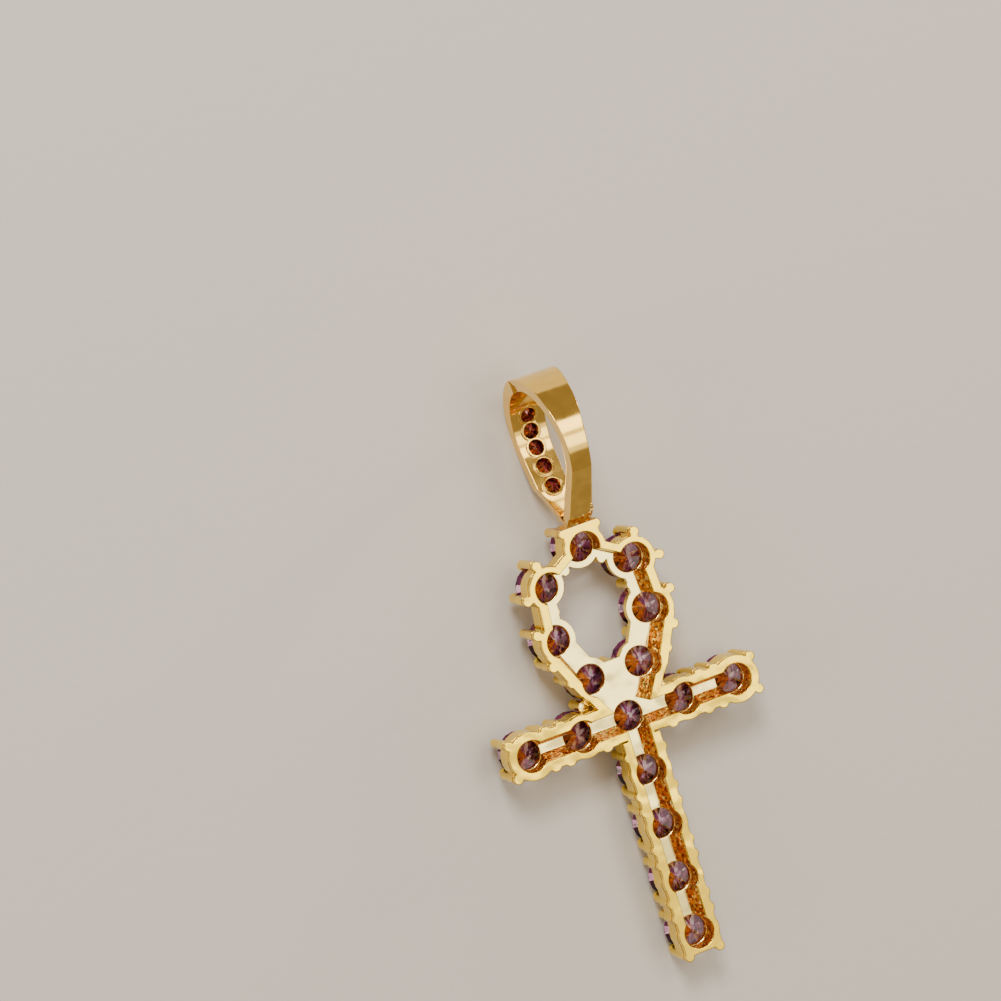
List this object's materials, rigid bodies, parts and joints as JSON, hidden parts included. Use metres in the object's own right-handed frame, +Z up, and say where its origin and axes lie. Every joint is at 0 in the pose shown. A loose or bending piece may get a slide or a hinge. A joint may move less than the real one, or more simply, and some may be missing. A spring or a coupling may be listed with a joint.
{
  "type": "ankh pendant",
  "caption": "Ankh-shaped pendant: an open-backed cast frame with round cut stones held in prongs, and a tapered stone-set bail soldered to its top, lying on its front.",
  "frame": {"origin": "centre of the pendant's bounding box in X and Y, at the surface that it rests on", "axes": "+Y from the stem's end towards the bail, +Z up out of the pendant's open back, +X to the right seen from behind"},
  "size_m": [0.0264, 0.0578, 0.0125],
  "materials": {
    "gold": "polished yellow gold plate with rough cast recesses",
    "stone": "polished facets",
    "bail_stone": "polished facets"
  },
  "bodies": {
    "root": {"gold_frame": "gold", "stone_centre": "stone", "stone_loop_top": "stone", "stone_stem_1": "stone", "stone_stem_2": "stone", "stone_stem_3": "stone", "stone_stem_4": "stone", "stone_arm_right_1": "stone", "stone_arm_right_2": "stone", "stone_arm_left_1": "stone", "stone_arm_left_2": "stone", "stone_loop_right_upper": "stone", "stone_loop_right_side": "stone", "stone_loop_right_lower": "stone", "stone_loop_left_upper": "stone", "stone_loop_left_side": "stone", "stone_loop_left_lower": "stone", "bail_stone_1": "bail_stone", "bail_stone_2": "bail_stone", "bail_stone_3": "bail_stone", "bail_stone_4": "bail_stone", "bail_stone_5": "bail_stone"}
  },
  "joints": []
}
